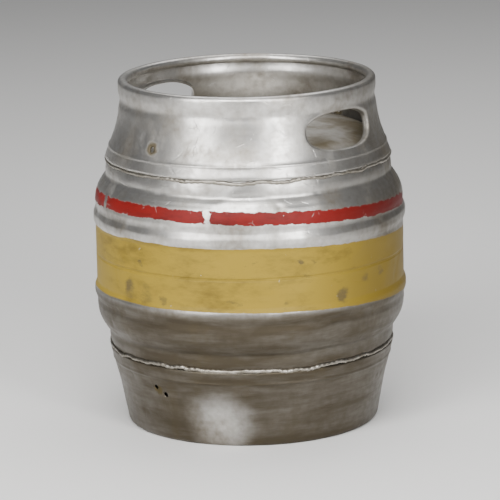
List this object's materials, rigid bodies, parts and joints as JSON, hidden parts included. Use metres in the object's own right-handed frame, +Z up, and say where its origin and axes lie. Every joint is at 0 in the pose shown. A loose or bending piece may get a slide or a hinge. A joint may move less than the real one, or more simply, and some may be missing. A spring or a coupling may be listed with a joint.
{
  "type": "beer keg",
  "caption": "Barrel-shaped stainless steel beer keg with a handled collar, rolling hoops, a foot ring and a sprung valve in the centre of the head.",
  "frame": {"origin": "centre of the circle on which the foot ring stands", "axes": "+Z up along the keg's axis; the two hand holes face +X and -X; the drain holes face -Y"},
  "size_m": [0.411, 0.4108, 0.457],
  "materials": {
    "keg_steel": "drawn stainless steel, scuffed, with worn red and mustard paint bands round the belly",
    "collar_steel": "satin stainless steel with a polished, worn rolled edge",
    "weld_steel": "brushed weld bead, slightly tinted",
    "valve_steel": "turned stainless steel",
    "spring_steel": "drawn spring wire",
    "seal_rubber": "moulded black rubber",
    "bush_plastic": "moulded acetal",
    "label_paper": "torn, water-stained paper"
  },
  "bodies": {
    "keg": {"upper_shell": "keg_steel", "lower_shell": "keg_steel", "girth_weld": "weld_steel", "top_chime": "collar_steel", "bottom_chime": "collar_steel", "top_chime_weld": "weld_steel", "bottom_chime_weld": "weld_steel", "neck": "valve_steel", "neck_weld": "weld_steel", "neck_seal": "seal_rubber", "snap_ring": "spring_steel", "spear_body": "valve_steel", "spring_basket": "valve_steel", "tube_bush": "bush_plastic", "main_spring": "spring_steel", "label": "label_paper"},
    "gas_valve": {"valve_seal": "seal_rubber", "valve_carrier": "valve_steel", "dip_tube": "valve_steel", "ball_spring": "spring_steel"},
    "beer_valve": {"ball": "valve_steel"}
  },
  "joints": [
    {"name": "gas_valve_press", "type": "slide", "parent": "keg", "child": "gas_valve", "axis": [0, 0, -1], "range_m": [0, 0.007], "stiffness_N_per_m": 4000, "springref_m": -0.015, "deforming": ["main_spring"]},
    {"name": "ball_press", "type": "slide", "parent": "gas_valve", "child": "beer_valve", "axis": [0, 0, -1], "range_m": [0, 0.004], "stiffness_N_per_m": 800, "springref_m": -0.004, "deforming": ["ball_spring"]}
  ]
}
